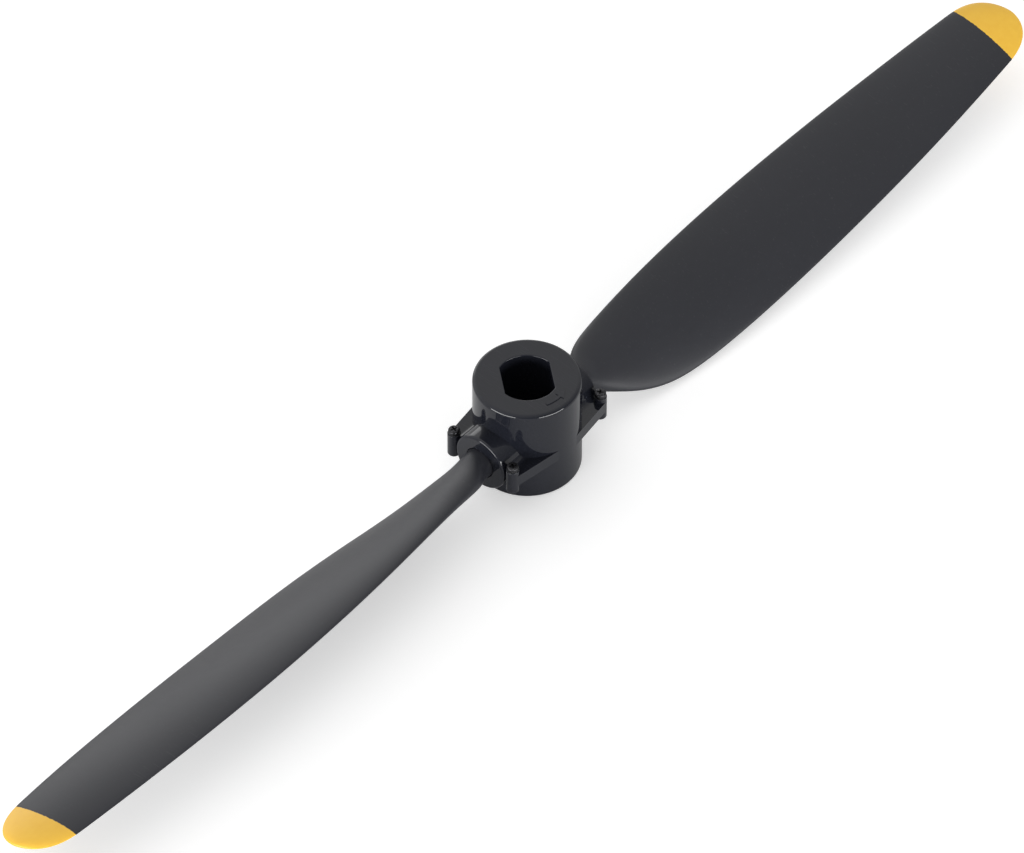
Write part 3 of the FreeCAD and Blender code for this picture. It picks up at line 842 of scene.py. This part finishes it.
# name, bearing and height above the horizon in degrees, distance, (width, height), power in watts
SOFTBOXES = (
    ("front_left", -45.0, 6.0, 1.5, (1.3, 0.4), 20.0),
    ("front_right", 45.0, 6.0, 1.5, (1.3, 0.4), 20.0),
    ("back", 198.0, 10.0, 1.5, (1.2, 0.5), 2.2),
)


class PROPELLER_OT_stage(bpy.types.Operator):
    """Set up the floor, the white surround, the soft lights and the camera"""

    bl_idname = "propeller.stage"
    bl_label = "Stage"

    def execute(self, context):
        look = context.scene.propeller_stage
        make_floor(look)
        right, depth = view_axes(look)
        make_surround(look, right, depth)
        for box in SOFTBOXES:
            make_softbox(depth, *box)
        make_camera(look, right, depth)
        context.scene.view_settings.view_transform = "Standard"
        return {"FINISHED"}


def make_floor(look):
    half = look.floor_size / 2.0
    mesh = bpy.data.meshes.new("floor")
    height = FLOOR_HEIGHT - FLOOR_GAP
    corners = [(sx * half, sy * half, height) for sx, sy in ((-1, -1), (1, -1), (1, 1), (-1, 1))]
    mesh.from_pydata(corners, [], [(0, 1, 2, 3)])
    mesh.materials.append(floor_material(look))
    floor = bpy.data.objects.new("floor", mesh)
    bpy.context.scene.collection.objects.link(floor)


def view_axes(look):
    """The level directions to the camera's right and away from it."""
    right = Vector((math.cos(look.azimuth), math.sin(look.azimuth), 0.0))
    return right, Vector((-right.y, right.x, 0.0))


def make_surround(look, right, depth):
    """A white surround, brightest behind the propeller, to the left and overhead."""
    world = bpy.data.worlds.new("surround")
    world.use_nodes = True
    tree = world.node_tree
    direction = tree.nodes.new("ShaderNodeTexCoord").outputs["Generated"]
    bright_side = BRIGHT_SIDE[0] * right + BRIGHT_SIDE[1] * depth + Vector((0.0, 0.0, BRIGHT_SIDE[2]))
    facing = tree.nodes.new("ShaderNodeVectorMath")
    facing.operation = "DOT_PRODUCT"
    tree.links.new(direction, facing.inputs[0])
    facing.inputs[1].default_value = bright_side
    strength = look.surround + look.surround_slope * Quantity(tree, facing.outputs["Value"])
    feed(tree, tree.nodes["Background"].inputs["Strength"], least(strength, look.surround_least))
    tree.nodes["Background"].inputs["Color"].default_value = (1.0, 1.0, 1.0, 1.0)
    bpy.context.scene.world = world


def make_softbox(depth, name, bearing, height_angle, distance, size, power):
    """A rectangular light aimed at the hub.  Its bearing counts from the camera, anticlockwise from above."""
    bearing = math.radians(bearing)
    height_angle = math.radians(height_angle)
    level = Matrix.Rotation(bearing, 3, "Z") @ -depth
    way = level * math.cos(height_angle) + Vector((0.0, 0.0, math.sin(height_angle)))
    data = bpy.data.lights.new(name, "AREA")
    data.shape = "RECTANGLE"
    data.size, data.size_y = size
    data.energy = power
    light = bpy.data.objects.new(name, data)
    light.location = Vector((0.0, 0.0, AXIS_HEIGHT)) + way * distance
    light.rotation_euler = way.to_track_quat("Z", "Y").to_euler()
    bpy.context.scene.collection.objects.link(light)


def make_camera(look, right, depth):
    back = Vector((0.0, 0.0, math.sin(look.elevation))) - depth * math.cos(look.elevation)
    up = back.cross(right)
    target = Vector((0.0, 0.0, AXIS_HEIGHT)) - right * look.across - up * look.above
    data = bpy.data.cameras.new("camera")
    data.lens = look.focal
    data.sensor_width = SENSOR_WIDTH
    data.clip_start, data.clip_end = CLIP_RANGE
    camera = bpy.data.objects.new("camera", data)
    camera.location = target + back * look.distance
    camera.rotation_euler = back.to_track_quat("Z", "Y").to_euler()
    bpy.context.scene.collection.objects.link(camera)
    bpy.context.scene.camera = camera


# ---------------------------------------------------------------- add-on
class PROPELLER_PT_build(bpy.types.Panel):
    bl_label = "Propeller"
    bl_space_type = "VIEW_3D"
    bl_region_type = "UI"
    bl_category = "Propeller"

    def draw(self, context):
        for operator in OPERATORS:
            self.layout.operator(operator.bl_idname)
        for name in SETTINGS:
            group = getattr(context.scene, name)
            box = self.layout.box()
            for prop in group.bl_rna.properties:
                if prop.identifier not in ("name", "rna_type"):
                    box.prop(group, prop.identifier)


OPERATORS = (PROPELLER_OT_hub, PROPELLER_OT_blades, PROPELLER_OT_screws, PROPELLER_OT_stage)
SETTINGS = {
    "propeller_hub": HubLook,
    "propeller_blade": BladeLook,
    "propeller_root": RootShape,
    "propeller_screw": ScrewLook,
    "propeller_stage": StageLook,
}


def register():
    for name, group in SETTINGS.items():
        bpy.utils.register_class(group)
        setattr(bpy.types.Scene, name, PointerProperty(type=group))
    for item in (*OPERATORS, PROPELLER_PT_build):
        bpy.utils.register_class(item)


def unregister():
    for item in reversed((*OPERATORS, PROPELLER_PT_build)):
        bpy.utils.unregister_class(item)
    for name, group in SETTINGS.items():
        delattr(bpy.types.Scene, name)
        bpy.utils.unregister_class(group)


def main():
    register()
    bpy.ops.propeller.hub()
    bpy.ops.propeller.blades()
    bpy.ops.propeller.screws()
    bpy.ops.propeller.stage()


if __name__ == "__main__":
    main()
